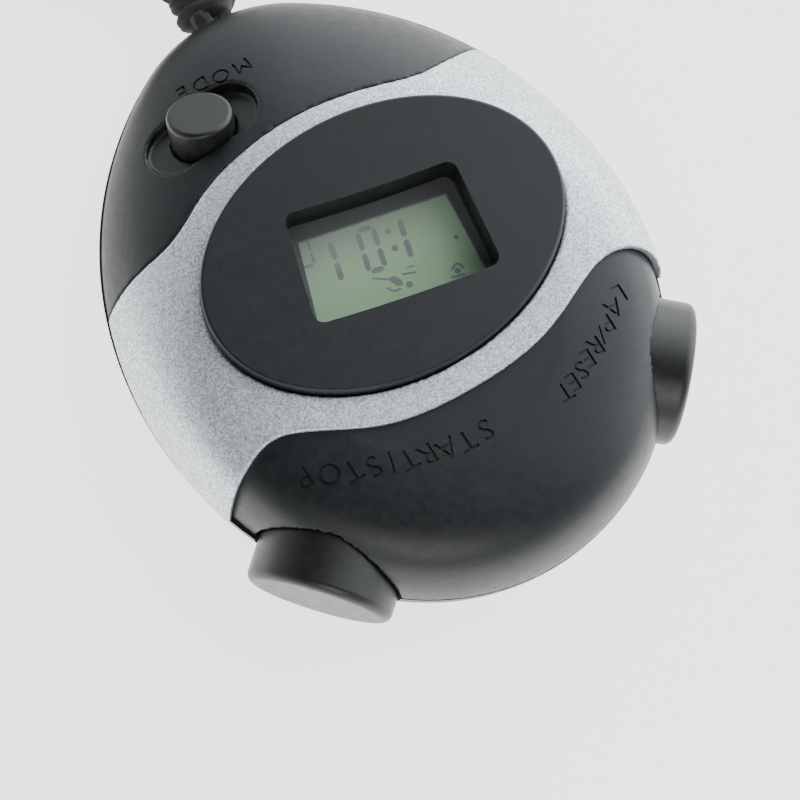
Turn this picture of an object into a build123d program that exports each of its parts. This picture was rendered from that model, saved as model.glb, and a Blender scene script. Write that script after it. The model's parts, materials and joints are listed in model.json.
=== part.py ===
from build123d import *
from math import cos, hypot, pi, radians, sin, sqrt, tan
import os

# A hand-held digital stopwatch. Millimetres, +Z out of the display, +Y towards the two big
# buttons, origin on the flat back under the middle of the body.

# ---- Case: an egg of four tangent arcs, drawn at several heights and lofted ----
TOP_Z = 22.5  # face of the display bezel
SEAM_Z = 10.5  # where the front and rear shells meet
NOSE_Y = 12.4  # centre of the nose arc
HALF_WIDTH = 33.1
NOSE_TIP = 42.8
TAIL_TIP = 39.8
TAIL_RADIUS = 20.5
SKIN = 0.8  # the silver fascia stands this proud of the black shell
WALL = 1.7
FLOOR = 1.8
# height, half width, nose tip, tail tip, tail radius
SHOULDER = [
    (SEAM_Z, HALF_WIDTH, NOSE_TIP, TAIL_TIP, TAIL_RADIUS),
    (13.5, 32.3, 42.4, 36.8, 19.6),
    (16.2, 31.1, 41.5, 31.4, 18.0),
    (18.2, 29.7, 40.2, 25.8, 16.3),
    (19.6, 27.9, 38.4, 20.8, 14.6),
    (20.4, 25.8, 36.2, 17.0, 13.2),
    (20.9, 22.6, 33.0, 13.0, 11.0),
    (21.2, 17.0, 27.0, 9.0, 8.0),
]
# height, inset from the seam outline
BELLY = [(0.0, 9.5), (0.8, 6.0), (2.2, 3.2), (4.5, 1.2), (7.5, 0.2), (SEAM_Z, 0.0)]

# ---- Display ----
BEZEL_X = -1.0
BEZEL_SEMI = (23.0, 16.5)
BEZEL_FOOT = 0.2  # how much the bezel widens towards its foot
BEZEL_SEAT_Z = 20.4
WINDOW_AT = (-1.4, 0.35)
WINDOW_TURN = -11.5
WINDOW_NEAR = (11.6, 6.95)  # half length and distance of the long edge next to the nose
WINDOW_FAR = (10.7, 7.05)
WINDOW_BOW = 0.3
TUNNEL_WALL = 1.1
LENS_Z = 17.0
LENS_THICK = 0.7
LCD_TOP_Z = 16.5
LCD_SIZE = (27.0, 18.6, 2.4)
FRAME_SIZE = (29.4, 21.0)
BOARD_Z = 7.1
BOARD_THICK = 1.6
BOARD_TOP_Z = BOARD_Z + BOARD_THICK
BOARD_INSET = 12.0

# ---- Two big buttons, one each side of the nose ----
BUTTON_ANGLE = 48.6  # from +Y
BUTTON_FACE = {1: (26.8, 30.7), -1: (-26.0, 30.2)}  # centres of the end faces
BUTTON_Z = 9.8
BUTTON_HALF = (8.9, 8.3)  # across and up
BUTTON_GAP = 0.35
BUTTON_TRAVEL = 1.2
SHOULDER_S = 7.2  # distances inward from the end face
SLEEVE_RADIUS = 7.4
SLEEVE_S = 9.8
EAR_S = 8.4
EAR_REACH = 9.9
STEM_RADIUS = 1.6
STEM_S = 12.5
GUIDE_S = 11.2
GUIDE_THICK = 1.2
GUIDE_TOP_Z = 13.4
SWITCH_S = 14.2
SWITCH_SIZE = (6.0, 3.2)
BUTTON_RIM = 1.1
CAP_WALL = 1.8
CUP_RADIUS = 6.2
EAR_HEIGHT = 3.6
SPRING_RADIUS = 3.2
SPRING_WIRE = 0.35
SPRING_PITCH = 1.5
ACTUATOR_RADIUS = 1.0

# ---- Mode button, square to the sloping tail ----
MODE_FACE = Vector(9.0, -26.1, TOP_Z - 3.2)
MODE_AXIS = Vector(-0.105, -0.419, 0.902).normalized()
MODE_RADIUS = 4.1
MODE_SCOOP_T = 3.4  # depths below the button's face
MODE_ROOF_T = 5.0
MODE_STEM_T = 9.3
SCOOP_LENGTH = 15.2  # of the floor
SCOOP_WIDTH = 7.6
SCOOP_FLARE = 10
SCOOP_LEVEL = Vector(1, 0.06, -0.1)  # along the floor, which sinks towards +X
MODE_FLANGE_RADIUS = 5.3
MODE_RIM = 0.55
MODE_DOME_AT = (9.6, -21.6)

# ---- Battery, screws, lanyard ----
BATTERY_Y = -6.0
BATTERY_RADIUS = 10.0
BATTERY_Z = 1.8
BATTERY_THICK = 3.2
DOOR_Z = 1.6
DOOR_SIZE = (24.0, 27.0)
DOOR_Y = -5.0
LEDGE_Z = 3.0
DOOR_SCREW_Y = 6.4
CASE_SCREWS = [(25.2, 4), (-25.2, 4), (0, 33.6), (-11, -26.5), (18.5, -19.5)]
BOSS_RADIUS = 2.4
SCREW_RADIUS = 0.95
HEAD_RADIUS = 1.9
HEAD_SEAT_Z = 2.6
BOARD_SCREWS = [(18, 6), (-18, 8), (-8.5, -20.5)]
PILOT_Z = 3.6  # bottom of the board screws' blind holes
BUZZER_Y = 19.0
BUZZER_THICK = 0.5
POCKET_HALF = 3.4  # lanyard pocket in the tail
POCKET_Y = -31.4
POCKET_Z = (1.6, 9.4)
BAR_AT = (-36.4, 5.5)
BAR_RADIUS = 0.8
CORD_RADIUS = 2.0
LOOP_RADIUS = 1.4
LOOP_TURN = 2.3
KNOT_X = -2.0
KNOT_Y = (-48.1, -40.7)
KNOT_SIZE = (9.5, 8.2)
COIL_AT = (4.0, -88.0)
COIL_RADII = (15.0, 29.0)
COIL_HEIGHT = 8.0
STRAND_OUT = [
    (-4.6, -48.1, 5.6), (-5.2, -55, 4.2), (-9.4, -62.5, 2.4), (-16.4, -69.5, 2.2),
    (-22.2, -79, 2), (-23, -88, 2),
]
STRAND_BACK = [
    (31, -88, 6), (30.2, -79, 5.2), (24.5, -69.5, 3.2), (15.5, -63, 2.2),
    (6.2, -58, 3), (1.6, -52.6, 4.8), (0.6, -48.1, 5.6),
]

PARTS = "parts"
os.makedirs(PARTS, exist_ok=True)


def save(builder, name):
    builder.part.label = name
    export_step(builder.part, f"{PARTS}/{name}.step")


def egg(half_width, nose_tip, tail_tip, tail_radius):
    """The closed outline: nose arc, tail arc and two side arcs tangent to both."""
    nose_radius = nose_tip - NOSE_Y
    tail_y = tail_radius - tail_tip
    a, b = half_width - nose_radius, half_width - tail_radius
    q = b / a
    mid = (tail_y - q * NOSE_Y) / (1 - q)
    rest = (tail_y**2 - q * NOSE_Y**2 - b * b + a * b) / (1 - q)
    side_y = mid - sqrt(mid * mid - rest)
    side_x = ((side_y - NOSE_Y) ** 2 - a * a) / (2 * a)
    nose_k = nose_radius / hypot(side_x, NOSE_Y - side_y)
    tail_k = tail_radius / hypot(side_x, tail_y - side_y)
    nx, ny = side_x * nose_k, NOSE_Y + (NOSE_Y - side_y) * nose_k
    tx, ty = side_x * tail_k, tail_y + (tail_y - side_y) * tail_k
    with BuildSketch(mode=Mode.PRIVATE) as outline:
        with BuildLine():
            ThreePointArc((-nx, ny), (0, nose_tip), (nx, ny))
            ThreePointArc((nx, ny), (half_width, side_y), (tx, ty))
            ThreePointArc((tx, ty), (0, -tail_tip), (-tx, ty))
            ThreePointArc((-tx, ty), (-half_width, side_y), (-nx, ny))
        make_face()
    add(outline.sketch)


def dome(inset, drop):
    """The front of the case above the seam, shrunk by inset and lowered by drop."""
    with BuildPart() as form:
        for z, half, nose, tail, radius in SHOULDER:
            height = z if z == SEAM_Z else z - drop
            with BuildSketch(Plane.XY.offset(height)):
                egg(half - inset, nose - inset, tail - inset, radius - inset)
        loft()
    return form.part


def belly(inset, lift):
    """The back of the case below the seam, flush with the black nose and the silver sides."""
    with BuildPart() as form:
        for z, step in BELLY:
            height = z if z == SEAM_Z else z + lift
            cut = step + inset
            with BuildSketch(Plane.XY.offset(height)):
                egg(HALF_WIDTH - cut, NOSE_TIP - SKIN - cut, TAIL_TIP - cut, TAIL_RADIUS - cut)
        loft()
    return form.part


def nose_edge():
    """Edge of the silver band next to the big buttons, from left to right."""
    Spline(
        (-36, 27), (-30, 18.2), (-26.8, 15.4), (-23, 14.7), (-19, 15.9), (-12, 18.9), (0, 20.3),
        (11, 18.6), (18.6, 14.8), (22.3, 13.6), (26.2, 14.6), (30.2, 16.9), (36, 23),
    )


def tail_edge():
    """Edge of the silver band next to the mode button, from left to right."""
    Spline(
        (-36, -22.5), (-28, -19.2), (-24, -18.1), (-20, -17.4), (-16.5, -17.2), (-12, -18.1),
        (-6, -19.3), (0, -19.7), (7.4, -18.9), (14.3, -16.6), (18.3, -14.4), (21.5, -13.3),
        (25.5, -12.9), (29, -12.2), (36, -9),
    )


def prism(draw_edges, height=30):
    with BuildPart() as block:
        with BuildSketch():
            with BuildLine():
                draw_edges()
            make_face()
        extrude(amount=height)
    return block.part


def band_edges():
    nose_edge()
    tail_edge()
    Line((-36, 27), (-36, -22.5))
    Line((36, 23), (36, -9))


def tail_edges():
    tail_edge()
    Polyline((-36, -22.5), (-36, -60), (36, -60), (36, -9))


def window(grow=0.0):
    """The window opening: a rounded oblong whose long edges bow gently towards the nose."""
    near_x, near_y = WINDOW_NEAR[0] + grow, WINDOW_NEAR[1] + grow
    far_x, far_y = WINDOW_FAR[0] + grow, -WINDOW_FAR[1] - grow
    with BuildSketch(mode=Mode.PRIVATE) as opening:
        with BuildLine():
            ThreePointArc((-near_x, near_y), (0, near_y + WINDOW_BOW), (near_x, near_y))
            Line((near_x, near_y), (far_x, far_y))
            ThreePointArc((far_x, far_y), (0, far_y + WINDOW_BOW), (-far_x, far_y))
            Line((-far_x, far_y), (-near_x, near_y))
        make_face()
        fillet(opening.vertices(), 1.3 + grow)
    add(opening.sketch)


def window_plane(z):
    """Plane at height z, turned and centred like the display."""
    turn = radians(WINDOW_TURN)
    return Plane(origin=(*WINDOW_AT, z), x_dir=(cos(turn), sin(turn), 0))


def button_plane(side, s):
    """Plane facing along a big button's axis, s inward from its end face; local Y is up."""
    dx, dy = side * sin(radians(BUTTON_ANGLE)), cos(radians(BUTTON_ANGLE))
    face_x, face_y = BUTTON_FACE[side]
    origin = (face_x - dx * s, face_y - dy * s, BUTTON_Z)
    return Plane(origin=origin, x_dir=(dy, -dx, 0), z_dir=(-dx, -dy, 0))


def mode_plane(t):
    """Plane facing along the mode button's axis, t below its face; local X follows the scoop."""
    across = Vector(1, 0.17, 0)
    level = (across - MODE_AXIS * across.dot(MODE_AXIS)).normalized()
    return Plane(origin=MODE_FACE - MODE_AXIS * t, x_dir=level, z_dir=-MODE_AXIS)


def scoop_plane(t):
    """Plane under the mode button's surround, t below the button's face."""
    level = SCOOP_LEVEL.normalized()
    facing = (MODE_AXIS - level * MODE_AXIS.dot(level)).normalized()
    return Plane(origin=MODE_FACE - MODE_AXIS * t, x_dir=level, z_dir=-facing)


def button_wells():
    """Clear room for both big buttons, cut from both shells."""
    with BuildPart() as wells:
        for side in (1, -1):
            with BuildSketch(button_plane(side, -6)):
                Ellipse(BUTTON_HALF[0] + BUTTON_GAP, BUTTON_HALF[1] + BUTTON_GAP)
            extrude(amount=6 + SHOULDER_S + BUTTON_TRAVEL + 0.4)
            with BuildSketch(button_plane(side, SHOULDER_S)):
                Circle(SLEEVE_RADIUS + BUTTON_GAP)
            extrude(amount=GUIDE_S - SHOULDER_S - 0.05)
            with BuildSketch(button_plane(side, EAR_S - 0.05)):
                Rectangle(2 * EAR_REACH + 0.5, EAR_HEIGHT + 0.5)
            extrude(amount=GUIDE_S - EAR_S)
    return wells.part


def bezel_seat():
    """Room for the display bezel: its spigot through the skin and its foot on top of it."""
    with BuildPart() as seat:
        with BuildSketch(Plane.XY.offset(BEZEL_SEAT_Z - SKIN + 0.1)):
            with Locations((BEZEL_X, 0)):
                Ellipse(BEZEL_SEMI[0] - 1.2, BEZEL_SEMI[1] - 1.2)
        extrude(amount=TOP_Z)
        with BuildSketch(Plane.XY.offset(BEZEL_SEAT_Z)):
            with Locations((BEZEL_X, 0)):
                Ellipse(BEZEL_SEMI[0] + BEZEL_FOOT + 0.1, BEZEL_SEMI[1] + BEZEL_FOOT + 0.1)
        extrude(amount=TOP_Z)
    return seat.part


outer_form = dome(0, 0)
shell_form = dome(SKIN, SKIN - 0.1)
front_room = dome(SKIN + WALL, SKIN + WALL)
back_form = belly(0, 0)
back_room = belly(WALL, FLOOR)
wells = button_wells()
seat = bezel_seat()
band = prism(band_edges)
tail_block = prism(tail_edges)
tail_skin = outer_form & tail_block

with BuildPart() as front_bosses:
    with BuildSketch(Plane.XY.offset(SEAM_Z)):
        with Locations(*CASE_SCREWS):
            Circle(BOSS_RADIUS)
    extrude(amount=TOP_Z)
    with BuildSketch(scoop_plane(MODE_SCOOP_T - 1.6)):
        SlotOverall(SCOOP_LENGTH + 3.6, SCOOP_WIDTH + 3.6)
    extrude(amount=MODE_ROOF_T - MODE_SCOOP_T + 1.6)
    add(shell_form, mode=Mode.INTERSECT)

with BuildPart() as front_shell:
    add(shell_form)
    add(tail_skin)
    add(front_room, mode=Mode.SUBTRACT)
    add(front_bosses.part)
    add(wells, mode=Mode.SUBTRACT)
    add(seat, mode=Mode.SUBTRACT)
    with BuildSketch(window_plane(0)):
        window(TUNNEL_WALL + 0.15)
    extrude(amount=TOP_Z, mode=Mode.SUBTRACT)
    with BuildSketch(scoop_plane(MODE_SCOOP_T)):
        SlotOverall(SCOOP_LENGTH, SCOOP_WIDTH)
    extrude(amount=-8, taper=-SCOOP_FLARE, mode=Mode.SUBTRACT)
    with BuildSketch(mode_plane(0)):
        Circle(MODE_RADIUS + 0.1)
    extrude(amount=MODE_ROOF_T + 2, mode=Mode.SUBTRACT)
    with BuildSketch(mode_plane(MODE_ROOF_T)):
        Circle(MODE_FLANGE_RADIUS + 0.2)
    extrude(amount=2.1, mode=Mode.SUBTRACT)
    with BuildSketch(Plane.XY.offset(SEAM_Z)):
        with Locations(*CASE_SCREWS):
            Circle(SCREW_RADIUS)
    extrude(amount=4.5, mode=Mode.SUBTRACT)
save(front_shell, "front_shell")

with BuildPart() as silver_fascia:
    add(outer_form & band)
    add(shell_form, mode=Mode.SUBTRACT)
    add(tail_skin, mode=Mode.SUBTRACT)
    add(seat, mode=Mode.SUBTRACT)
    add(wells, mode=Mode.SUBTRACT)
save(silver_fascia, "silver_fascia")

with BuildPart() as display_bezel:
    with BuildSketch(Plane.XY.offset(BEZEL_SEAT_Z)):
        with Locations((BEZEL_X, 0)):
            Ellipse(BEZEL_SEMI[0] + BEZEL_FOOT, BEZEL_SEMI[1] + BEZEL_FOOT)
    with BuildSketch(Plane.XY.offset(TOP_Z)):
        with Locations((BEZEL_X, 0)):
            Ellipse(*BEZEL_SEMI)
    loft()
    fillet(display_bezel.faces().sort_by(Axis.Z)[-1].edges(), 0.35)
    with BuildSketch(Plane.XY.offset(BEZEL_SEAT_Z - SKIN + 0.1)):
        with Locations((BEZEL_X, 0)):
            Ellipse(BEZEL_SEMI[0] - 1.3, BEZEL_SEMI[1] - 1.3)
    extrude(amount=SKIN)
    with BuildSketch(window_plane(LENS_Z + LENS_THICK)):
        window(TUNNEL_WALL)
    extrude(amount=2.5)
    with BuildSketch(window_plane(0)):
        window()
    extrude(amount=TOP_Z + 1, mode=Mode.SUBTRACT)
save(display_bezel, "display_bezel")

with BuildPart() as window_lens:
    with BuildSketch(window_plane(LENS_Z)):
        window(TUNNEL_WALL)
    extrude(amount=LENS_THICK)
save(window_lens, "window_lens")

with BuildPart() as lcd_frame:
    with BuildSketch(window_plane(BOARD_TOP_Z)):
        RectangleRounded(*FRAME_SIZE, 1.5)
    extrude(amount=LENS_Z - BOARD_TOP_Z)
    with BuildSketch(window_plane(BOARD_TOP_Z)):
        Rectangle(LCD_SIZE[0] + 0.1, LCD_SIZE[1] + 0.1)
    extrude(amount=LCD_TOP_Z - BOARD_TOP_Z, mode=Mode.SUBTRACT)
    with BuildSketch(window_plane(LCD_TOP_Z)):
        with BuildLine():
            Polyline((-10.9, 7.3), (10.9, 7.3), (9.5, -5.15), (-9.5, -5.15), close=True)
        make_face()
    extrude(amount=1, mode=Mode.SUBTRACT)
save(lcd_frame, "lcd_frame")

with BuildPart() as lcd_glass:
    with BuildSketch(window_plane(LCD_TOP_Z - LCD_SIZE[2])):
        Rectangle(LCD_SIZE[0], LCD_SIZE[1])
    extrude(amount=LCD_SIZE[2])
save(lcd_glass, "lcd_glass")

with BuildPart() as zebra_strips:
    with BuildSketch(window_plane(BOARD_TOP_Z)):
        with Locations((0, 8.0), (0, -8.0)):
            Rectangle(25.5, 2.2)
    extrude(amount=LCD_TOP_Z - LCD_SIZE[2] - BOARD_TOP_Z)
save(zebra_strips, "zebra_strips")

with BuildPart() as circuit_board:
    cut = BOARD_INSET
    with BuildSketch(Plane.XY.offset(BOARD_Z)):
        egg(HALF_WIDTH - cut, NOSE_TIP - SKIN - cut, TAIL_TIP - cut, TAIL_RADIUS - cut)
        with Locations(*BOARD_SCREWS):
            Circle(SCREW_RADIUS, mode=Mode.SUBTRACT)
    extrude(amount=BOARD_THICK)
save(circuit_board, "circuit_board")

with BuildPart() as chip_blob:
    with BuildSketch(Plane.XY.offset(BOARD_Z)):
        with Locations((-8, 15)):
            Circle(3.6)
    extrude(amount=-1.2, taper=20)
save(chip_blob, "chip_blob")

with BuildPart() as crystal_can:
    with BuildSketch(Plane.YZ.offset(5)):
        with Locations((10.5, BOARD_Z - 1.0)):
            Circle(1.0)
    extrude(amount=6)
save(crystal_can, "crystal_can")

with BuildPart() as board_capacitors:
    with BuildSketch(Plane.XY.offset(BOARD_Z)):
        with Locations((-14, 1), (-14, 4), (-17, -4), (15, -2), (15, -5)):
            Rectangle(2.0, 1.2)
    extrude(amount=-0.9)
save(board_capacitors, "board_capacitors")

with BuildPart() as board_screws:
    with BuildSketch(Plane.XY.offset(BOARD_TOP_Z)):
        with Locations(*BOARD_SCREWS):
            Circle(1.7)
    extrude(amount=1.0)
    with BuildSketch(Plane.XY.offset(BOARD_TOP_Z)):
        with Locations(*BOARD_SCREWS):
            Circle(SCREW_RADIUS)
    extrude(amount=-4.6)
    with BuildSketch(Plane.XY.offset(BOARD_TOP_Z + 0.5)):
        with Locations(*BOARD_SCREWS):
            Rectangle(1.8, 0.35)
            Rectangle(0.35, 1.8)
    extrude(amount=1, mode=Mode.SUBTRACT)
save(board_screws, "board_screws")

with BuildPart() as rear_extras:
    with BuildSketch(Plane.XY.offset(0.2)):
        with Locations(*CASE_SCREWS):
            Circle(BOSS_RADIUS)
    extrude(amount=SEAM_Z - 0.2)
    with BuildSketch(Plane.XY.offset(0.6)):
        with Locations(*BOARD_SCREWS):
            Circle(1.8)
    extrude(amount=BOARD_Z - 0.6)
    with BuildSketch(Plane.XY.offset(0.6)):
        with Locations((0, DOOR_Y)):
            RectangleRounded(DOOR_SIZE[0] + 3, DOOR_SIZE[1] + 3, 4)
    extrude(amount=LEDGE_Z - 0.6)
    with BuildSketch(Plane.XY.offset(0.6)):
        with Locations((0, DOOR_SCREW_Y)):
            Circle(2.4)
    extrude(amount=4.4)
    with BuildSketch(Plane.XY.offset(0.6)):
        with Locations((0, POCKET_Y - 5)):
            Rectangle(2 * POCKET_HALF + 2.8, 12.4)
    extrude(amount=SEAM_Z - 0.6)
    add(back_form, mode=Mode.INTERSECT)
    for side in (1, -1):
        with BuildSketch(button_plane(side, GUIDE_S)):
            with Locations((0, (GUIDE_TOP_Z + 0.6) / 2 - BUTTON_Z)):
                Rectangle(8, GUIDE_TOP_Z - 0.6)
        extrude(amount=GUIDE_THICK)

with BuildPart() as rear_shell:
    add(back_form)
    add(back_room, mode=Mode.SUBTRACT)
    add(rear_extras.part)
    add(wells, mode=Mode.SUBTRACT)
    for side in (1, -1):
        with BuildSketch(button_plane(side, 0)):
            Circle(STEM_RADIUS + 0.05)
        extrude(amount=STEM_S, mode=Mode.SUBTRACT)
    with BuildSketch():
        with Locations((0, DOOR_Y)):
            RectangleRounded(DOOR_SIZE[0] + 0.3, DOOR_SIZE[1] + 0.3, 3.15)
    extrude(amount=DOOR_Z, mode=Mode.SUBTRACT)
    with BuildSketch():
        with Locations((0, BATTERY_Y)):
            Circle(BATTERY_RADIUS + 0.3)
        with Locations((0, DOOR_SCREW_Y)):
            Circle(0.8)
        with Locations(*CASE_SCREWS):
            Circle(SCREW_RADIUS + 0.15)
    extrude(amount=SEAM_Z, mode=Mode.SUBTRACT)
    with BuildSketch(Plane.XY.offset(PILOT_Z)):
        with Locations(*BOARD_SCREWS):
            Circle(SCREW_RADIUS)
    extrude(amount=SEAM_Z, mode=Mode.SUBTRACT)
    with BuildSketch():
        with Locations(*CASE_SCREWS):
            Circle(HEAD_RADIUS + 0.2)
    extrude(amount=HEAD_SEAT_Z, mode=Mode.SUBTRACT)
    with BuildSketch():
        with Locations((0, BUZZER_Y)):
            Circle(0.7)
            with PolarLocations(4, 6):
                Circle(0.7)
    extrude(amount=FLOOR + 1, mode=Mode.SUBTRACT)
    with BuildSketch(Plane.XY.offset(POCKET_Z[0])):
        with Locations((0, POCKET_Y - 10)):
            Rectangle(2 * POCKET_HALF, 20)
    extrude(amount=POCKET_Z[1] - POCKET_Z[0], mode=Mode.SUBTRACT)
    with BuildSketch(Plane.YZ):
        with Locations(BAR_AT):
            Circle(BAR_RADIUS)
    extrude(amount=POCKET_HALF + 1.2, both=True, mode=Mode.SUBTRACT)
save(rear_shell, "rear_shell")


def big_button(side, name):
    """A cup-shaped cap with a stepped sleeve, two retaining ears and a centre stem."""
    end = button_plane(side, 0)
    with BuildPart() as button:
        with BuildSketch(end):
            Ellipse(*BUTTON_HALF)
        extrude(amount=SHOULDER_S)
        fillet(button.edges().sort_by(Axis(end.origin, end.z_dir))[0], BUTTON_RIM)
        with BuildSketch(button_plane(side, SHOULDER_S)):
            Circle(SLEEVE_RADIUS)
        extrude(amount=SLEEVE_S - SHOULDER_S)
        with BuildSketch(button_plane(side, EAR_S)):
            Rectangle(2 * EAR_REACH, EAR_HEIGHT)
        extrude(amount=SLEEVE_S - EAR_S)
        with BuildSketch(button_plane(side, CAP_WALL)):
            Circle(CUP_RADIUS)
        extrude(amount=SLEEVE_S, mode=Mode.SUBTRACT)
        with BuildSketch(button_plane(side, CAP_WALL)):
            Circle(STEM_RADIUS)
        extrude(amount=STEM_S - CAP_WALL)
    save(button, f"{name}_button")


def return_spring(side, name):
    """The coil spring round a big button's stem, from the cap to the guide."""
    with BuildPart() as spring:
        seat = button_plane(side, CAP_WALL + SPRING_WIRE)
        rise = GUIDE_S - CAP_WALL - 2 * SPRING_WIRE
        with BuildLine() as coil:
            Helix(SPRING_PITCH, rise, SPRING_RADIUS, center=seat.origin, direction=seat.z_dir)
        with BuildSketch(coil.line ^ 0):
            Circle(SPRING_WIRE)
        sweep()
    save(spring, f"{name}_spring")


def push_switch(side, name):
    """A side-push switch on the board's edge, and the small actuator that slides in it."""
    with BuildPart() as housing:
        with BuildSketch(button_plane(side, SWITCH_S)):
            with Locations((0, BOARD_TOP_Z + SWITCH_SIZE[1] / 2 - BUTTON_Z)):
                Rectangle(*SWITCH_SIZE)
        extrude(amount=3.5)
        with BuildSketch(button_plane(side, SWITCH_S)):
            Circle(ACTUATOR_RADIUS + 0.08)
        extrude(amount=2.6, mode=Mode.SUBTRACT)
    save(housing, f"{name}_switch")
    with BuildPart() as actuator:
        with BuildSketch(button_plane(side, STEM_S)):
            Circle(ACTUATOR_RADIUS)
        extrude(amount=SWITCH_S + 1.0 - STEM_S)
    save(actuator, f"{name}_actuator")


for side, name in ((1, "start_stop"), (-1, "lap_reset")):
    big_button(side, name)
    return_spring(side, name)
    push_switch(side, name)

with BuildPart() as mode_button:
    with BuildSketch(mode_plane(0)):
        Circle(MODE_RADIUS)
    extrude(amount=MODE_ROOF_T)
    fillet(mode_button.edges().sort_by(Axis(MODE_FACE, -MODE_AXIS))[0], MODE_RIM)
    with BuildSketch(mode_plane(MODE_ROOF_T)):
        Circle(MODE_RADIUS)
    extrude(amount=0.1)
    with BuildSketch(mode_plane(MODE_ROOF_T + 0.1)):
        Circle(MODE_FLANGE_RADIUS)
    extrude(amount=1.0)
    with BuildSketch(mode_plane(MODE_ROOF_T)):
        Circle(STEM_RADIUS)
    extrude(amount=MODE_STEM_T - MODE_ROOF_T)
save(mode_button, "mode_button")

with BuildPart() as mode_dome:
    with BuildSketch(Plane.XY.offset(BOARD_TOP_Z)):
        with Locations(MODE_DOME_AT):
            Circle(3.0)
    with BuildSketch(Plane.XY.offset(BOARD_TOP_Z + 1.4)):
        with Locations(MODE_DOME_AT):
            Circle(2.0)
    loft()
save(mode_dome, "mode_dome")

with BuildPart() as battery_door:
    with BuildSketch():
        with Locations((0, DOOR_Y)):
            RectangleRounded(*DOOR_SIZE, 3)
    extrude(amount=DOOR_Z)
    with BuildSketch():
        with Locations((0, DOOR_SCREW_Y)):
            Circle(1.75)
    extrude(amount=1.0, mode=Mode.SUBTRACT)
    with BuildSketch():
        with Locations((0, DOOR_SCREW_Y)):
            Circle(0.9)
        with Locations((0, DOOR_Y - 10.5)):
            SlotOverall(8, 1.6)
    extrude(amount=DOOR_Z, mode=Mode.SUBTRACT)
save(battery_door, "battery_door")

with BuildPart() as door_screw:
    with BuildSketch(Plane.XY.offset(0.2)):
        with Locations((0, DOOR_SCREW_Y)):
            Circle(1.6)
            Rectangle(2.0, 0.4, mode=Mode.SUBTRACT)
            Rectangle(0.4, 2.0, mode=Mode.SUBTRACT)
    extrude(amount=0.4)
    with BuildSketch(Plane.XY.offset(0.6)):
        with Locations((0, DOOR_SCREW_Y)):
            Circle(1.6)
    extrude(amount=0.4)
    with BuildSketch(Plane.XY.offset(1.0)):
        with Locations((0, DOOR_SCREW_Y)):
            Circle(0.8)
    extrude(amount=3.2)
save(door_screw, "door_screw")

with BuildPart() as coin_cell:
    with BuildSketch(Plane.XY.offset(BATTERY_Z)):
        with Locations((0, BATTERY_Y)):
            Circle(BATTERY_RADIUS)
    extrude(amount=2.8)
    with BuildSketch(Plane.XY.offset(BATTERY_Z)):
        with Locations((0, BATTERY_Y)):
            Circle(BATTERY_RADIUS - 1.2)
    extrude(amount=BATTERY_THICK)
save(coin_cell, "coin_cell")

with BuildPart() as battery_contact_minus:
    cell_top = BATTERY_Z + BATTERY_THICK
    with BuildSketch(Plane.XZ.offset(-BATTERY_Y)):
        with BuildLine():
            Polyline(
                (9, BOARD_Z), (9, BOARD_Z - 0.3), (5, BOARD_Z - 0.3), (-2, cell_top), (-4, cell_top),
                (-4, cell_top + 0.3), (-2.1, cell_top + 0.3), (4.8, BOARD_Z), close=True,
            )
        make_face()
    extrude(amount=2, both=True)
save(battery_contact_minus, "battery_contact_minus")

with BuildPart() as battery_contact_plus:
    with BuildSketch(Plane.XY.offset(LEDGE_Z + 0.1)):
        with Locations((-BATTERY_RADIUS - 0.2, BATTERY_Y)):
            Rectangle(0.3, 5)
    extrude(amount=BOARD_Z - LEDGE_Z - 0.1)
    with BuildSketch(Plane.XY.offset(BOARD_Z - 0.3)):
        with Locations((-BATTERY_RADIUS - 1.6, BATTERY_Y)):
            Rectangle(2.8, 5)
    extrude(amount=0.3)
save(battery_contact_plus, "battery_contact_plus")

with BuildPart() as buzzer_disc:
    with BuildSketch(Plane.XY.offset(FLOOR + 0.05)):
        with Locations((0, BUZZER_Y)):
            Circle(7.5)
    extrude(amount=BUZZER_THICK)
save(buzzer_disc, "buzzer_disc")

with BuildPart() as buzzer_springs:
    for x in (-3, 3):
        base = Plane(origin=(x, BUZZER_Y, FLOOR + 0.05 + BUZZER_THICK + 0.2))
        with BuildLine(base) as coil:
            Helix(0.9, BOARD_Z - base.origin.Z - 0.2, 1.2)
        with BuildSketch(coil.line ^ 0):
            Circle(0.2)
        sweep(path=coil.line)
save(buzzer_springs, "buzzer_springs")

with BuildPart() as case_screws:
    with BuildSketch(Plane.XY.offset(HEAD_SEAT_Z)):
        with Locations(*CASE_SCREWS):
            Circle(HEAD_RADIUS)
    extrude(amount=-1.3)
    with BuildSketch(Plane.XY.offset(HEAD_SEAT_Z)):
        with Locations(*CASE_SCREWS):
            Circle(SCREW_RADIUS)
    extrude(amount=SEAM_Z + 4.0 - HEAD_SEAT_Z)
    with BuildSketch(Plane.XY.offset(HEAD_SEAT_Z - 1.3)):
        with Locations(*CASE_SCREWS):
            Rectangle(2.2, 0.45)
            Rectangle(0.45, 2.2)
    extrude(amount=0.6, mode=Mode.SUBTRACT)
save(case_screws, "case_screws")

with BuildPart() as lanyard_bar:
    with BuildSketch(Plane.YZ):
        with Locations(BAR_AT):
            Circle(BAR_RADIUS)
    extrude(amount=POCKET_HALF + 1.2, both=True)
save(lanyard_bar, "lanyard_bar")

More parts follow.
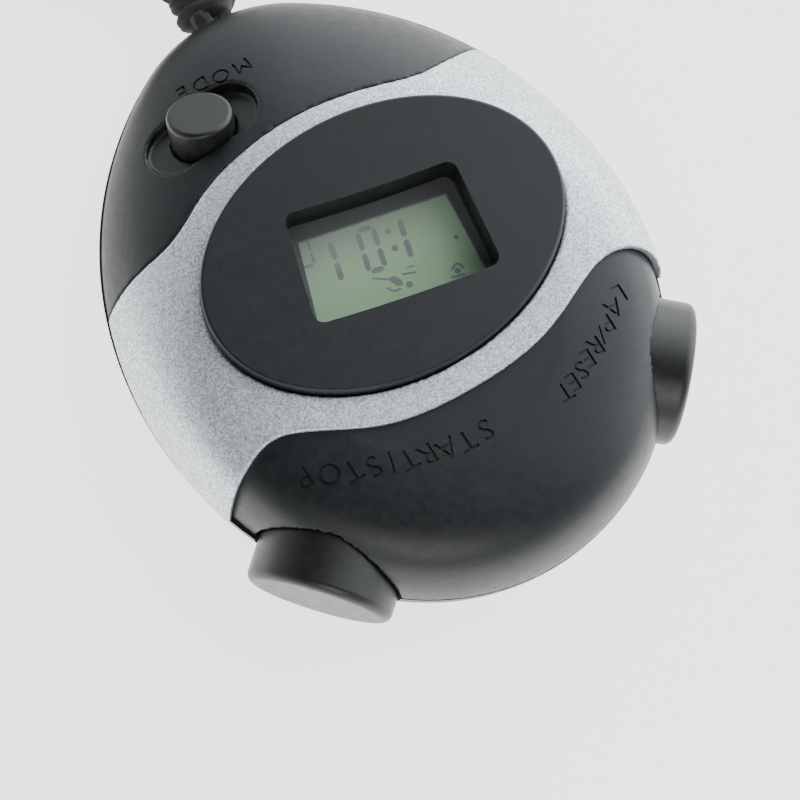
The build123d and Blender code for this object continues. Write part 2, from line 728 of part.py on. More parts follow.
with BuildPart() as lanyard_loop:
    with BuildLine(Plane.YZ) as bend:
        over = Line((KNOT_Y[1], BAR_AT[1] + LOOP_TURN), (BAR_AT[0], BAR_AT[1] + LOOP_TURN))
        round_bar = ThreePointArc(
            over @ 1, (BAR_AT[0] + LOOP_TURN, BAR_AT[1]), (BAR_AT[0], BAR_AT[1] - LOOP_TURN)
        )
        Line(round_bar @ 1, (KNOT_Y[1], BAR_AT[1] - LOOP_TURN))
    with BuildSketch(bend.line ^ 0):
        Circle(LOOP_RADIUS)
    sweep()
save(lanyard_loop, "lanyard_loop")

with BuildPart() as lanyard_knot:
    with BuildSketch(Plane.XY.offset(BAR_AT[1] - KNOT_SIZE[1] / 2)):
        with Locations((KNOT_X, sum(KNOT_Y) / 2)):
            RectangleRounded(KNOT_SIZE[0], KNOT_Y[1] - KNOT_Y[0], 2.4)
    extrude(amount=KNOT_SIZE[1])
save(lanyard_knot, "lanyard_knot")


def strand(points, name):
    """One uncoiled length of the lanyard: straight runs joined by the largest tangent arcs."""
    route = [Vector(*point) for point in points]
    radii = []
    for before, here, after in zip(route, route[1:], route[2:]):
        turn = radians((here - before).get_angle(after - here))
        run = min((here - before).length, (after - here).length)
        radii.append(0.45 * run / tan(turn / 2))
    with BuildPart() as tube:
        with BuildLine() as path:
            FilletPolyline(*route, radius=radii)
        with BuildSketch(path.line ^ 0):
            Circle(CORD_RADIUS)
        sweep()
    length = path.wires()[0].length
    print(name, "radii", [round(r, 1) for r in radii], "length", round(length, 1))
    print("  volume over section x length", tube.part.volume / (pi * CORD_RADIUS**2 * length))
    save(tube, name)


strand(STRAND_OUT, "lanyard_cord_out")
strand(STRAND_BACK, "lanyard_cord_back")

with BuildPart() as lanyard_coil:
    with BuildSketch():
        with Locations(COIL_AT):
            Circle(COIL_RADII[1])
            Circle(COIL_RADII[0], mode=Mode.SUBTRACT)
    extrude(amount=COIL_HEIGHT)
    fillet(lanyard_coil.edges(), 1.9)
save(lanyard_coil, "lanyard_coil")
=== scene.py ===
"""A hand-held digital stopwatch on a pale floor. Lengths are metres, in the CAD model's frame."""

import json
from math import cos, pi, radians, sin, tau

import bmesh
import bpy
from mathutils import Matrix, Vector
from mathutils.bvhtree import BVHTree


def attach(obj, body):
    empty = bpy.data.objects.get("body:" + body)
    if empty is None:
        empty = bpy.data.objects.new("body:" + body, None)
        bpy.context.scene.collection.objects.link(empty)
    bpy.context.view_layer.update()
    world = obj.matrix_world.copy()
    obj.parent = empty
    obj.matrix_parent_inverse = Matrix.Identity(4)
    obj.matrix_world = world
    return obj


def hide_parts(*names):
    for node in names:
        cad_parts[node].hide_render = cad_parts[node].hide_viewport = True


MM = 0.001

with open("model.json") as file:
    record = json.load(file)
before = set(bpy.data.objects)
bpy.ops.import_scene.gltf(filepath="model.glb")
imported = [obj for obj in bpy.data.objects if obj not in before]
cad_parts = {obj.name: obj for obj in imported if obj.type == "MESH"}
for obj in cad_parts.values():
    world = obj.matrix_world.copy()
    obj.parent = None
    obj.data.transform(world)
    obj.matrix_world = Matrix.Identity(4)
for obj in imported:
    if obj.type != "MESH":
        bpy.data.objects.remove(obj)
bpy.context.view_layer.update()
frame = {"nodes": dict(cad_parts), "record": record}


def mm(x, y, z=0.0):
    """A point given in millimetres."""
    return Vector((x * MM, y * MM, z * MM))


# ---- Camera ----
CAMERA_AT = mm(46.4, 57.9, 223.8)
CAMERA_AIM = mm(7.85, 17.45, 22.5)
CAMERA_ROLL = radians(11.98)
CAMERA_LENS = 82.3
SENSOR_WIDTH = 36


def make_camera():
    data = bpy.data.cameras.new("camera")
    data.lens = CAMERA_LENS
    data.sensor_width = SENSOR_WIDTH
    data.clip_start = 0.01
    camera = bpy.data.objects.new("camera", data)
    forward = (CAMERA_AIM - CAMERA_AT).normalized()
    level = forward.cross(Vector((0, 0, 1))).normalized()
    right = level * cos(CAMERA_ROLL) + level.cross(forward) * sin(CAMERA_ROLL)
    axes = Matrix((right, right.cross(forward), -forward)).transposed()
    camera.matrix_world = Matrix.Translation(CAMERA_AT) @ axes.to_4x4()
    bpy.context.scene.collection.objects.link(camera)
    bpy.context.scene.camera = camera


make_camera()


# ---- Mesh helpers ----
def mesh_object(name, verts, faces, smooth=True):
    """A new object from vertex and face lists, with outward normals."""
    mesh = bpy.data.meshes.new(name)
    mesh.from_pydata(verts, [], faces)
    bm = bmesh.new()
    bm.from_mesh(mesh)
    bmesh.ops.recalc_face_normals(bm, faces=bm.faces)
    bm.to_mesh(mesh)
    bm.free()
    for polygon in mesh.polygons:
        polygon.use_smooth = smooth
    obj = bpy.data.objects.new(name, mesh)
    bpy.context.scene.collection.objects.link(obj)
    return obj


def ring_faces(rings, count):
    """Quads between consecutive rings of count points."""
    faces = []
    for r in range(rings - 1):
        a, b = r * count, (r + 1) * count
        for k in range(count):
            j = (k + 1) % count
            faces.append((a + k, a + j, b + j, b + k))
    return faces


# ---- Lanyard cord ----
CORD_DIAMETER = 0.004
CORD_PLAIT = 0.0042  # the length over which one strand goes round
CORD_STEP = 0.00045
STRANDS = 8
STRAND_GAP = 0.3  # how far the surface sinks between strands, of a strand's height
TUBE_SIDES = 32
CORD_OUT = [
    (-4.6, -48.1, 5.6), (-5.2, -55, 4.2), (-9.4, -62.5, 2.4), (-16.4, -69.5, 2.2), (-22.2, -79, 2),
]
CORD_BACK = [
    (30.2, -79, 5.2), (24.5, -69.5, 3.2), (15.5, -63, 2.2), (6.2, -58, 3), (1.6, -52.6, 4.8),
    (0.6, -48.1, 5.6),
]
COIL_CENTRE = (4.0, -88.0)
COIL_OUTER, COIL_INNER = 27.0, 17.0
COIL_LOW, COIL_HIGH = 2.0, 6.0
LAYER_TURNS = 2.5
CLIMB_TURNS = 0.5
TURN_POINTS = 16


def coil_points():
    """The coil: inward on the floor, half a turn of climb, then outward on top of it."""
    centre_x, centre_y = COIL_CENTRE
    total = 2 * LAYER_TURNS + CLIMB_TURNS
    steps = round(total * TURN_POINTS)
    points = []
    for i in range(steps + 1):
        turns = total * i / steps
        inward = min(turns, total - turns) / LAYER_TURNS
        radius = COIL_OUTER - (COIL_OUTER - COIL_INNER) * min(inward, 1.0)
        climb = min(max((turns - LAYER_TURNS) / CLIMB_TURNS, 0.0), 1.0)
        z = COIL_LOW + (COIL_HIGH - COIL_LOW) * climb
        angle = pi + tau * turns
        points.append((centre_x + radius * cos(angle), centre_y + radius * sin(angle), z))
    return points


def nurbs_points(route):
    """Evenly fine points along the smooth curve that has the route as its control points."""
    data = bpy.data.curves.new("cord_route", "CURVE")
    data.dimensions = "3D"
    spline = data.splines.new("NURBS")
    spline.points.add(len(route) - 1)
    for point, xyz in zip(spline.points, route):
        point.co = (*mm(*xyz), 1)
    spline.order_u = 3
    spline.use_endpoint_u = True
    spline.resolution_u = 12
    obj = bpy.data.objects.new("cord_route", data)
    line = bpy.data.meshes.new_from_object(obj)
    points = [v.co.copy() for v in line.vertices]
    bpy.data.objects.remove(obj)
    bpy.data.curves.remove(data)
    return points


def resample(points, step):
    """Points a fixed step apart along a polyline, ends kept."""
    lengths = [0.0]
    for a, b in zip(points, points[1:]):
        lengths.append(lengths[-1] + (b - a).length)
    count = max(2, round(lengths[-1] / step))
    out, i = [], 0
    for k in range(count + 1):
        at = lengths[-1] * k / count
        while i < len(points) - 2 and lengths[i + 1] < at:
            i += 1
        span = lengths[i + 1] - lengths[i] or 1.0
        out.append(points[i].lerp(points[i + 1], (at - lengths[i]) / span))
    return out, lengths[-1]


def braided_tube(name, line, radius, plait, depth=0.09):
    """A round braid along a line: strands cross over and under each other in both directions."""
    verts = []
    normal = Vector((0, 0, 1))
    travelled = 0.0
    last = line[0]
    for i, point in enumerate(line):
        tangent = (line[min(i + 1, len(line) - 1)] - line[max(i - 1, 0)]).normalized()
        normal = (normal - tangent * normal.dot(tangent)).normalized()
        across = tangent.cross(normal)
        travelled += (point - last).length
        last = point
        phase = tau * travelled / plait
        for k in range(TUBE_SIDES):
            around = tau * k / TUBE_SIDES
            one = sin(STRANDS / 2 * around + phase)
            other = sin(STRANDS / 2 * around - phase)
            bulge = max(one, other) * (1 - STRAND_GAP + STRAND_GAP * cos(STRANDS * around))
            r = radius * (1 - depth + depth * bulge)
            verts.append(point + (normal * cos(around) + across * sin(around)) * r)
    count = len(line)
    faces = ring_faces(count, TUBE_SIDES)
    faces.append(tuple(reversed(range(TUBE_SIDES))))
    faces.append(tuple(range((count - 1) * TUBE_SIDES, count * TUBE_SIDES)))
    return mesh_object(name, verts, faces)


cord_line, cord_length = resample(nurbs_points(CORD_OUT + coil_points() + CORD_BACK), CORD_STEP)
cord = braided_tube("neck_cord", cord_line, CORD_DIAMETER / 2, CORD_PLAIT)
print("cord length", cord_length)

KNOT_HALF = (2.75, 2.1)  # the wraps' centreline, across and up
KNOT_AT = (-2.0, -46.1, 5.5)
KNOT_WRAPS = 1.6
KNOT_PITCH = 2.1
KNOT_START = -0.9  # the angle at which the wraps begin
KNOT_TUCK = 0.3  # how far out from the middle the tucked ends lie, of a wrap's radius
KNOT_EASE = 9  # the ends are tucked in over one part in this many
KNOT_STEPS = 160
KNOT_RADIUS = 0.0019
KNOT_DEPTH = 0.13
BAR = (-36.4, 5.5)
LOOP_TURN = 2.3
LOOP_END = -42.6
LOOP_STEPS = 24
LOOP_RADIUS = 0.0014
LOOP_PLAIT = 0.0034
FINE_STEP = 0.0003


def knot_line():
    """The wraps of the knot round the cord's two ends, with both ends tucked inside."""
    points = []
    for i in range(KNOT_STEPS + 1):
        at = i / KNOT_STEPS
        tuck = KNOT_TUCK + (1 - KNOT_TUCK) * min(1, KNOT_EASE * at, KNOT_EASE * (1 - at))
        angle = tau * KNOT_WRAPS * at + KNOT_START
        points.append(mm(
            KNOT_AT[0] + KNOT_HALF[0] * tuck * cos(angle),
            KNOT_AT[1] + KNOT_WRAPS * KNOT_PITCH * at,
            KNOT_AT[2] + KNOT_HALF[1] * tuck * sin(angle),
        ))
    return points


def loop_line():
    """The loop: out of the knot, round the bar in the tail and back under itself."""
    y, z = BAR
    points = [mm(0, LOOP_END, z + LOOP_TURN), mm(0, y, z + LOOP_TURN)]
    for i in range(1, LOOP_STEPS):
        angle = pi / 2 - pi * i / LOOP_STEPS
        points.append(mm(0, y + LOOP_TURN * cos(angle), z + LOOP_TURN * sin(angle)))
    points += [mm(0, y, z - LOOP_TURN), mm(0, LOOP_END, z - LOOP_TURN)]
    return points


knot_points = resample(knot_line(), FINE_STEP)[0]
knot = braided_tube("cord_knot", knot_points, KNOT_RADIUS, CORD_PLAIT, KNOT_DEPTH)
loop_points = resample(loop_line(), FINE_STEP)[0]
loop = braided_tube("cord_loop", loop_points, LOOP_RADIUS, LOOP_PLAIT)


# ---- Case pieces ----
SOFT_VOXEL = 0.0002
SOFT_KEEP = 0.3  # the share of triangles left after thinning
SILVER_ROUNDS, SHELL_ROUNDS = 5, 9


def copy_of(node, name):
    """A separate copy of a CAD node's mesh, in the model's frame."""
    source = frame["nodes"][node]
    mesh = source.data.copy()
    mesh.transform(source.matrix_world)
    obj = bpy.data.objects.new(name, mesh)
    bpy.context.scene.collection.objects.link(obj)
    return obj


def bake(obj):
    """Turns an object's modifiers into its mesh."""
    graph = bpy.context.evaluated_depsgraph_get()
    mesh = bpy.data.meshes.new_from_object(obj.evaluated_get(graph))
    obj.modifiers.clear()
    obj.data = mesh


def soften(obj, rounds):
    """Rounds every edge of a piece a little, as paint or moulding does."""
    remesh = obj.modifiers.new("remesh", "REMESH")
    remesh.mode = "VOXEL"
    remesh.voxel_size = SOFT_VOXEL
    smooth = obj.modifiers.new("smooth", "SMOOTH")
    smooth.factor = 0.5
    smooth.iterations = rounds
    thin = obj.modifiers.new("thin", "DECIMATE")
    thin.ratio = SOFT_KEEP
    bake(obj)
    for polygon in obj.data.polygons:
        polygon.use_smooth = True


LETTER_DEPTH = 0.3
LETTER_RISE = 0.35  # the height of a letter's middle, of its size
EDGE_ANGLE = radians(35)
START_STOP = [
    ("S", 0.9, 25.2), ("T", 3.5, 25.2), ("A", 5.9, 24.8), ("R", 8.2, 24.2), ("T", 10.4, 23.6),
    ("/", 12.2, 22.9), ("S", 14.2, 22.2), ("T", 16.5, 21.4), ("O", 19.0, 20.3), ("P", 21.6, 19.1),
]
LAP_RESET = [
    ("L", -21.9, 19.4), ("A", -20.2, 20.6), ("P", -18.5, 21.8), ("/", -17.1, 22.6), ("R", -15.7, 23.4),
    ("E", -14.1, 24.2), ("S", -12.6, 25.0), ("E", -11.0, 25.7), ("T", -9.5, 26.2),
]
MODE = [("M", 0.8, -29.8), ("O", 3.7, -30.1), ("D", 6.3, -30.6), ("E", 8.6, -31.0)]


def surface_tree(obj):
    """The piece's surface, ready for rays to be cast at it."""
    bm = bmesh.new()
    bm.from_mesh(obj.data)
    tree = BVHTree.FromBMesh(bm)
    bm.free()
    return tree


def letter(tree, text, x, y, size):
    """One letter as a thin block that straddles the surface under (x, y), its top towards +Y."""
    curve = bpy.data.curves.new("letter", "FONT")
    curve.body = text
    curve.size = size * MM
    curve.extrude = LETTER_DEPTH * MM
    curve.align_x = "CENTER"
    curve.resolution_u = 3
    obj = bpy.data.objects.new("letter", curve)
    mesh = bpy.data.meshes.new_from_object(obj)
    bpy.data.objects.remove(obj)
    bpy.data.curves.remove(curve)
    at, up = tree.ray_cast(mm(x, y, 60), Vector((0, 0, -1)))[:2]
    right = Vector((0, 1, 0)).cross(up).normalized()
    axes = Matrix((right, up.cross(right), up)).transposed().to_4x4()
    centre = Matrix.Translation(mm(0, -LETTER_RISE * size))
    mesh.transform(Matrix.Translation(at) @ axes @ centre)
    return mesh


def engrave(obj, words):
    """Sinks letters into a piece; words pairs each word with its size in millimetres."""
    tree = surface_tree(obj)
    bm = bmesh.new()
    for word, size in words:
        for text, x, y in word:
            bm.from_mesh(letter(tree, text, x, y, size))
    bmesh.ops.remove_doubles(bm, verts=bm.verts, dist=1e-7)
    bmesh.ops.recalc_face_normals(bm, faces=bm.faces)
    tool_mesh = bpy.data.meshes.new("letters")
    bm.to_mesh(tool_mesh)
    bm.free()
    tool = bpy.data.objects.new("letters", tool_mesh)
    bpy.context.scene.collection.objects.link(tool)
    cut = obj.modifiers.new("cut", "BOOLEAN")
    cut.operation = "DIFFERENCE"
    cut.solver = "EXACT"
    cut.object = tool
    bake(obj)
    obj.data.set_sharp_from_angle(angle=EDGE_ANGLE)
    bpy.data.objects.remove(tool)


silver = copy_of("silver_fascia", "silver_band")
soften(silver, SILVER_ROUNDS)
shell = copy_of("front_shell", "front_cover")
soften(shell, SHELL_ROUNDS)
engrave(shell, [(START_STOP, 3.6), (LAP_RESET, 3.2), (MODE, 3.1)])

# ---- Display marks, in millimetres from the middle of the digits' panel ----
MARKS_AT = (-1.1, 0.35)
MARKS_TURN = radians(-11.5)
LCD_TOP = 16.5
INK_THICK = 0.03
FIGURE_TOP, FIGURE_FOOT = 1.1, -4.3
FIGURE_LEAN = 0.06
SEGMENT_GAP = 0.12
DISC_SIDES = 20


def bar(x0, y0, x1, y1, width):
    """A segment with pointed ends, from one point to another."""
    a, b = Vector((x0, y0)), Vector((x1, y1))
    along = (b - a).normalized() * width / 2
    side = Vector((-along.y, along.x))
    return [a, a + along + side, b - along + side, b, b - along - side, a + along - side]


def disc(x, y, radius):
    """A round dot."""
    angles = [tau * i / DISC_SIDES for i in range(DISC_SIDES)]
    return [Vector((x + radius * cos(angle), y + radius * sin(angle))) for angle in angles]


def figure(x, right_x, width, lit, top=FIGURE_TOP, foot=FIGURE_FOOT):
    """A seven-segment figure leaning slightly right; lit names its segments."""
    middle = (top + foot) / 2
    left = [(x + FIGURE_LEAN * (y - foot), y) for y in (foot, middle, top)]
    right = [(right_x + FIGURE_LEAN * (y - foot), y) for y in (foot, middle, top)]
    ends = {
        "a": (left[2], right[2]), "b": (right[1], right[2]), "c": (right[0], right[1]),
        "d": (left[0], right[0]), "e": (left[0], left[1]), "f": (left[1], left[2]),
    }
    shapes = []
    for name in lit:
        (ax, ay), (bx, by) = ends[name]
        gap = Vector((bx - ax, by - ay)).normalized() * SEGMENT_GAP
        shapes.append(bar(ax + gap.x, ay + gap.y, bx - gap.x, by - gap.y, width))
    return shapes


def display_marks():
    """The switched-on marks: 1, a colon, 0, 1 and a small 0, with a few plain bars and dots beside them."""
    shapes = figure(-5.6, -3.4, 0.72, "bc")
    shapes += [disc(-1.6, -0.8, 0.4), disc(-1.6, -3.1, 0.4)]
    shapes += figure(0.0, 2.0, 0.68, "abcdef")
    shapes += figure(3.4, 5.5, 0.72, "bc")
    shapes += figure(8.0, 9.55, 0.35, "abcdef", top=-2.1, foot=-5.4)
    shapes += [
        disc(-1.63, 4.1, 0.42), bar(-0.9, 3.9, 0.3, 2.4, 0.9), bar(0.2, 2.8, 2.4, 1.85, 0.26),
        bar(-0.6, 4.2, 0.5, 4.35, 0.26), bar(0.4, 4.35, 1.1, 3.55, 0.24),
        bar(-3.0, 2.9, -1.2, 2.6, 0.24), bar(-3.1, 2.05, -2.0, 1.95, 0.18),
        bar(-7.0, 4.1, -8.0, 3.4, 0.34), bar(-8.0, 3.4, -8.6, 4.4, 0.34),
        bar(-6.6, 4.95, -8.5, 5.1, 0.34), disc(-7.7, 4.4, 0.4), disc(-9.05, 0.3, 0.3),
    ]
    verts, faces = [], []
    turn = Matrix.Rotation(MARKS_TURN, 2)
    for shape in shapes:
        start, count = len(verts), len(shape)
        for z in (LCD_TOP - INK_THICK / 2, LCD_TOP + INK_THICK / 2):
            for point in shape:
                flat = turn @ point
                verts.append(mm(MARKS_AT[0] + flat.x, MARKS_AT[1] + flat.y, z))
        faces.append([start + k for k in reversed(range(count))])
        faces.append([start + count + k for k in range(count)])
        for k in range(count):
            j = (k + 1) % count
            faces.append([start + k, start + j, start + count + j, start + count + k])
    return mesh_object("display_marks", verts, faces, smooth=False)


marks = display_marks()


# ---- Materials ----
FLOOR_GLOW = 2.2


def new_material(name):
    """A shader-node material: itself, its nodes and links, its main shader and the object coordinates."""
    material = bpy.data.materials.new(name)
    material.use_nodes = True
    nodes, links = material.node_tree.nodes, material.node_tree.links
    shader = nodes["Principled BSDF"]
    where = nodes.new("ShaderNodeTexCoord")
    return material, nodes, links, shader, where.outputs["Object"]


def noise(nodes, links, where, scale, detail=3.0):
    node = nodes.new("ShaderNodeTexNoise")
    node.inputs["Scale"].default_value = scale
    node.inputs["Detail"].default_value = detail
    links.new(where, node.inputs["Vector"])
    return node.outputs["Fac"]


def ramp(nodes, links, value, stops):
    node = nodes.new("ShaderNodeValToRGB")
    elements = node.color_ramp.elements
    elements[0].position, elements[0].color = stops[0][0], (*stops[0][1], 1)
    elements[1].position, elements[1].color = stops[-1][0], (*stops[-1][1], 1)
    for position, colour in stops[1:-1]:
        elements.new(position).color = (*colour, 1)
    links.new(value, node.inputs["Fac"])
    return node.outputs["Color"]


def bump(nodes, links, height, shader, distance):
    node = nodes.new("ShaderNodeBump")
    node.inputs["Distance"].default_value = distance
    links.new(height, node.inputs["Height"])
    links.new(node.outputs["Normal"], shader.inputs["Normal"])


def along_y(nodes, links, where, low, high):
    """A value that goes from 0 to 1 as Y goes from low to high."""
    split = nodes.new("ShaderNodeSeparateXYZ")
    links.new(where, split.inputs["Vector"])
    along = nodes.new("ShaderNodeMapRange")
    along.inputs["From Min"].default_value = low
    along.inputs["From Max"].default_value = high
    links.new(split.outputs["Y"], along.inputs["Value"])
    return along.outputs["Result"]


def grey(value):
    return (value, value, value)


def moulded_plastic(name, dark, light, roughness, grain, depth):
    """Moulded plastic: a faint cloudy tone, an uneven sheen and a fine spark-eroded grain."""
    material, nodes, links, shader, where = new_material(name)
    tone = ramp(nodes, links, noise(nodes, links, where, 260), [(0.35, dark), (0.65, light)])
    links.new(tone, shader.inputs["Base Color"])
    sheen = ramp(
        nodes, links, noise(nodes, links, where, 900),
        [(0.3, grey(roughness - 0.05)), (0.7, grey(roughness + 0.05))],
    )
    links.new(sheen, shader.inputs["Roughness"])
    bump(nodes, links, noise(nodes, links, where, grain, 2.0), shader, depth)
    return material


def silver_paint():
    """Silver metallic paint: flakes that tilt and glint, with a soft satin roughness."""
    material, nodes, links, shader, where = new_material("silver_paint")
    flakes = nodes.new("ShaderNodeTexVoronoi")
    flakes.inputs["Scale"].default_value = 5800
    links.new(where, flakes.inputs["Vector"])
    spread = nodes.new("ShaderNodeSeparateColor")
    links.new(flakes.outputs["Color"], spread.inputs["Color"])
    tone = ramp(
        nodes, links, spread.outputs["Red"],
        [(0.0, (0.36, 0.40, 0.42)), (0.5, (0.60, 0.65, 0.68)), (1.0, (0.93, 0.97, 0.99))],
    )
    links.new(tone, shader.inputs["Base Color"])
    shader.inputs["Metallic"].default_value = 0.72
    gloss = ramp(nodes, links, spread.outputs["Green"], [(0.0, grey(0.36)), (1.0, grey(0.52))])
    links.new(gloss, shader.inputs["Roughness"])
    bump(nodes, links, spread.outputs["Blue"], shader, 0.000012)
    return material


def lcd_panel():
    """The reflective display: grey-green with a fine diffuser grain, and painted shade that makes it darker
    and greyer towards its far edge.
    """
    material, nodes, links, shader, where = new_material("lcd_panel")
    # painted shade: the panel's colour darkens and greys towards its far edge
    tone = ramp(
        nodes, links, along_y(nodes, links, where, -0.0065, 0.0065),
        [(0.0, (0.17, 0.22, 0.17)), (0.45, (0.20, 0.39, 0.17)), (1.0, (0.20, 0.46, 0.16))],
    )
    links.new(tone, shader.inputs["Base Color"])
    shader.inputs["Roughness"].default_value = 0.5
    bump(nodes, links, noise(nodes, links, where, 9000, 1.0), shader, 0.000004)
    return material


def lcd_ink():
    """Switched-on segments, painted lighter towards the far edge to stand in for the contrast they lose
    where the panel is seen at a worse angle.
    """
    material, nodes, links, shader, where = new_material("lcd_ink")
    # painted light: the segments lighten towards the far edge, where the panel is seen at a worse angle
    tone = ramp(
        nodes, links, along_y(nodes, links, where, -0.0045, 0.002),
        [
            (0.0, (0.10, 0.12, 0.11)), (0.4, (0.07, 0.09, 0.08)),
            (0.6, (0.012, 0.022, 0.015)), (1.0, (0.015, 0.025, 0.018)),
        ],
    )
    links.new(tone, shader.inputs["Base Color"])
    shader.inputs["Roughness"].default_value = 0.5
    return material


def clear_plastic():
    """The window: clear, with only its surface reflection showing."""
    material, nodes, links, shader, where = new_material("clear_plastic")
    shader.inputs["Base Color"].default_value = (0.9, 0.93, 0.92, 1)
    shader.inputs["Alpha"].default_value = 0.10
    shine = ramp(nodes, links, noise(nodes, links, where, 300), [(0.3, grey(0.03)), (0.7, grey(0.08))])
    links.new(shine, shader.inputs["Roughness"])
    return material


def brushed_metal(name, colour, roughness, scale):
    """Plated or bare metal with fine directional brushing."""
    material, nodes, links, shader, where = new_material(name)
    stretch = nodes.new("ShaderNodeMapping")
    stretch.inputs["Scale"].default_value = (1, 14, 1)
    links.new(where, stretch.inputs["Vector"])
    lines = noise(nodes, links, stretch.outputs["Vector"], scale)
    tone = ramp(nodes, links, lines, [(0.3, tuple(c * 0.8 for c in colour)), (0.7, colour)])
    links.new(tone, shader.inputs["Base Color"])
    shader.inputs["Metallic"].default_value = 1.0
    gloss = ramp(nodes, links, lines, [(0.3, grey(roughness - 0.08)), (0.7, grey(roughness + 0.08))])
    links.new(gloss, shader.inputs["Roughness"])
    bump(nodes, links, lines, shader, 0.00001)
    return material


def cord_fabric():
    """Black polyester yarn: fine fibres, dull, with a faint sheen."""
    material, nodes, links, shader, where = new_material("black_cord")
    fibres = noise(nodes, links, where, 5200, 4.0)
    tone = ramp(nodes, links, fibres, [(0.3, (0.003, 0.003, 0.0035)), (0.7, (0.016, 0.016, 0.017))])
    links.new(tone, shader.inputs["Base Color"])
    shader.inputs["Roughness"].default_value = 0.85
    shader.inputs["Sheen Weight"].default_value = 0.06
    bump(nodes, links, fibres, shader, 0.00012)
    return material


def pale_floor():
    """A nearly white sheet that glows a little, so that the object's shadow on it stays soft."""
    material, nodes, links, shader, where = new_material("floor")
    tone = ramp(nodes, links, noise(nodes, links, where, 3), [(0.3, grey(0.55)), (0.7, grey(0.57))])
    links.new(tone, shader.inputs["Base Color"])
    shader.inputs["Roughness"].default_value = 0.9
    shader.inputs["Emission Color"].default_value = (1, 1, 1, 1)
    shader.inputs["Emission Strength"].default_value = FLOOR_GLOW
    return material


BLACK = moulded_plastic(
    "black_plastic", (0.0042, 0.0056, 0.0068), (0.0060, 0.0075, 0.0088), 0.40, 5200, 0.000010
)
BUTTON = moulded_plastic(
    "button_plastic", (0.0060, 0.0065, 0.0068), (0.0085, 0.0090, 0.0094), 0.36, 4200, 0.000008
)
RUBBER = moulded_plastic("black_rubber", (0.012, 0.012, 0.012), (0.02, 0.02, 0.02), 0.7, 3000, 0.00002)
BOARD = moulded_plastic("board_green", (0.012, 0.10, 0.04), (0.02, 0.15, 0.06), 0.35, 1500, 0.00001)
CERAMIC = moulded_plastic("ceramic", (0.36, 0.28, 0.20), (0.46, 0.37, 0.27), 0.5, 3000, 0.00001)
SILVER = silver_paint()
LCD = lcd_panel()
INK = lcd_ink()
CLEAR = clear_plastic()
PLATE = brushed_metal("plated_metal", (0.72, 0.72, 0.70), 0.28, 2500)
STEEL = brushed_metal("screw_steel", (0.60, 0.61, 0.63), 0.32, 2500)
BRASS = brushed_metal("brass_disc", (0.75, 0.58, 0.28), 0.3, 2500)
CORD = cord_fabric()

BY_SLOT = {
    "black_plastic": BLACK, "button_plastic": BUTTON, "silver_paint": SILVER, "clear_plastic": CLEAR,
    "lcd_panel": LCD, "black_rubber": RUBBER, "board_green": BOARD, "plated_metal": PLATE,
    "ceramic": CERAMIC, "screw_steel": STEEL, "brass_disc": BRASS, "black_cord": CORD,
}


def paint(obj, slot):
    obj.data.materials.clear()
    obj.data.materials.append(BY_SLOT[slot])


for part in frame["record"]["subparts"]:
    paint(frame["nodes"][part["node"]], part["material_slot"])


def place(obj, body, slot, *nodes):
    """Gives a piece the material of a slot and its body, and hides the CAD nodes it stands for."""
    paint(obj, slot)
    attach(obj, body)
    if nodes:
        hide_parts(*nodes)


place(silver, "case", "silver_paint", "silver_fascia")
place(shell, "case", "black_plastic", "front_shell")
place(marks, "case", "lcd_panel")
marks.data.materials[0] = INK
place(knot, "case", "black_cord", "lanyard_knot")
place(loop, "case", "black_cord", "lanyard_loop")
place(cord, "case", "black_cord", "lanyard_cord_out", "lanyard_cord_back", "lanyard_coil")


# ---- Floor and lights ----
FLOOR_HALF = 1500
KEY_AT, KEY_AIM = mm(250, 450, 500), mm(0, 0, 10)
KEY_SIZE, KEY_POWER = 0.4, 1.5
TOP_LIGHT = 0.1
WALL_LIGHT = 1.2
WALL_TOP, TOP_FOOT = 0.15, 0.85  # the tent darkens between these heights, as sines of elevation
SIDE_LIGHT = 3.8
SIDE_FROM = (-0.92, -0.2, 0.38)
SIDE_EDGE, SIDE_FULL = 0.45, 0.98  # cosines of the angle from the bright side's middle


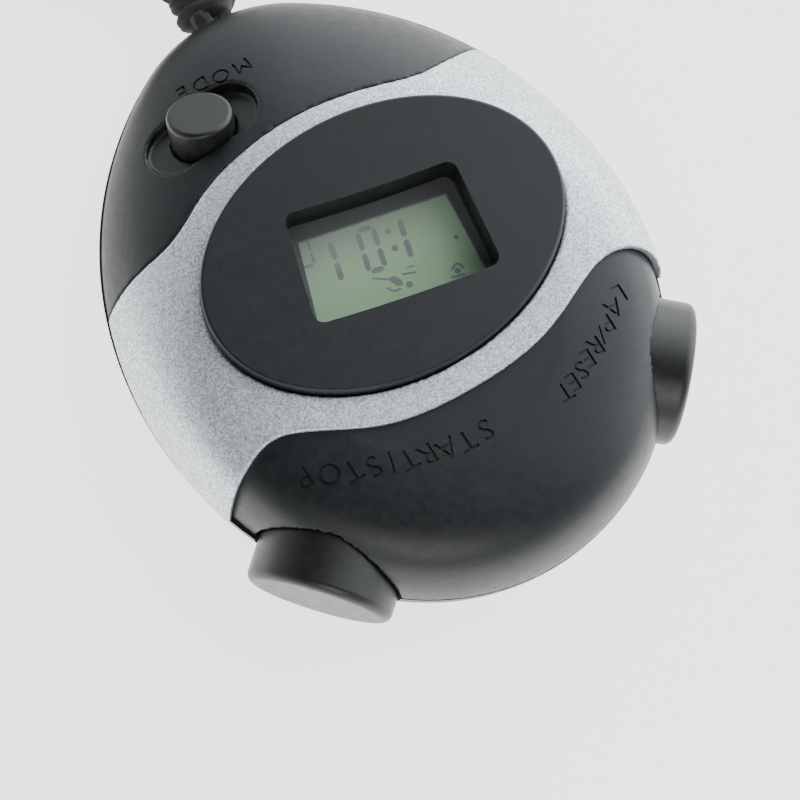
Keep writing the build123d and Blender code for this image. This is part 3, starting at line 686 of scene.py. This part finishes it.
def make_floor():
    corners = [(-1, -1), (1, -1), (1, 1), (-1, 1)]
    floor = mesh_object("floor", [mm(x * FLOOR_HALF, y * FLOOR_HALF) for x, y in corners], [(0, 1, 2, 3)])
    floor.data.materials.append(pale_floor())


def area_light(name, at, aim, size, power):
    data = bpy.data.lights.new(name, "AREA")
    data.size = size
    data.energy = power
    light = bpy.data.objects.new(name, data)
    light.location = at
    light.rotation_euler = (aim - at).to_track_quat("-Z", "Y").to_euler()
    bpy.context.scene.collection.objects.link(light)


def smooth_step(nodes, links, value, span, levels):
    """Eases from the first level to the second as the value crosses the span."""
    node = nodes.new("ShaderNodeMapRange")
    node.interpolation_type = "SMOOTHSTEP"
    links.new(value, node.inputs["Value"])
    for name, number in zip(("From Min", "From Max", "To Min", "To Max"), (*span, *levels)):
        node.inputs[name].default_value = number
    return node.outputs["Result"]


def studio_world():
    """A white tent: dark overhead, bright low down, brightest on one side."""
    world = bpy.data.worlds.new("world")
    world.use_nodes = True
    nodes, links = world.node_tree.nodes, world.node_tree.links
    background = nodes["Background"]
    background.inputs["Color"].default_value = (0.93, 0.98, 1.0, 1)
    where = nodes.new("ShaderNodeTexCoord").outputs["Generated"]
    split = nodes.new("ShaderNodeSeparateXYZ")
    links.new(where, split.inputs["Vector"])
    towards = nodes.new("ShaderNodeVectorMath")
    towards.operation = "DOT_PRODUCT"
    links.new(where, towards.inputs[0])
    towards.inputs[1].default_value = Vector(SIDE_FROM).normalized()
    wall = smooth_step(nodes, links, split.outputs["Z"], (WALL_TOP, TOP_FOOT), (WALL_LIGHT, TOP_LIGHT))
    side = smooth_step(nodes, links, towards.outputs["Value"], (SIDE_EDGE, SIDE_FULL), (0.0, SIDE_LIGHT))
    total = nodes.new("ShaderNodeMath")
    links.new(wall, total.inputs[0])
    links.new(side, total.inputs[1])
    links.new(total.outputs["Value"], background.inputs["Strength"])
    bpy.context.scene.world = world


make_floor()
studio_world()
area_light("key", KEY_AT, KEY_AIM, KEY_SIZE, KEY_POWER)
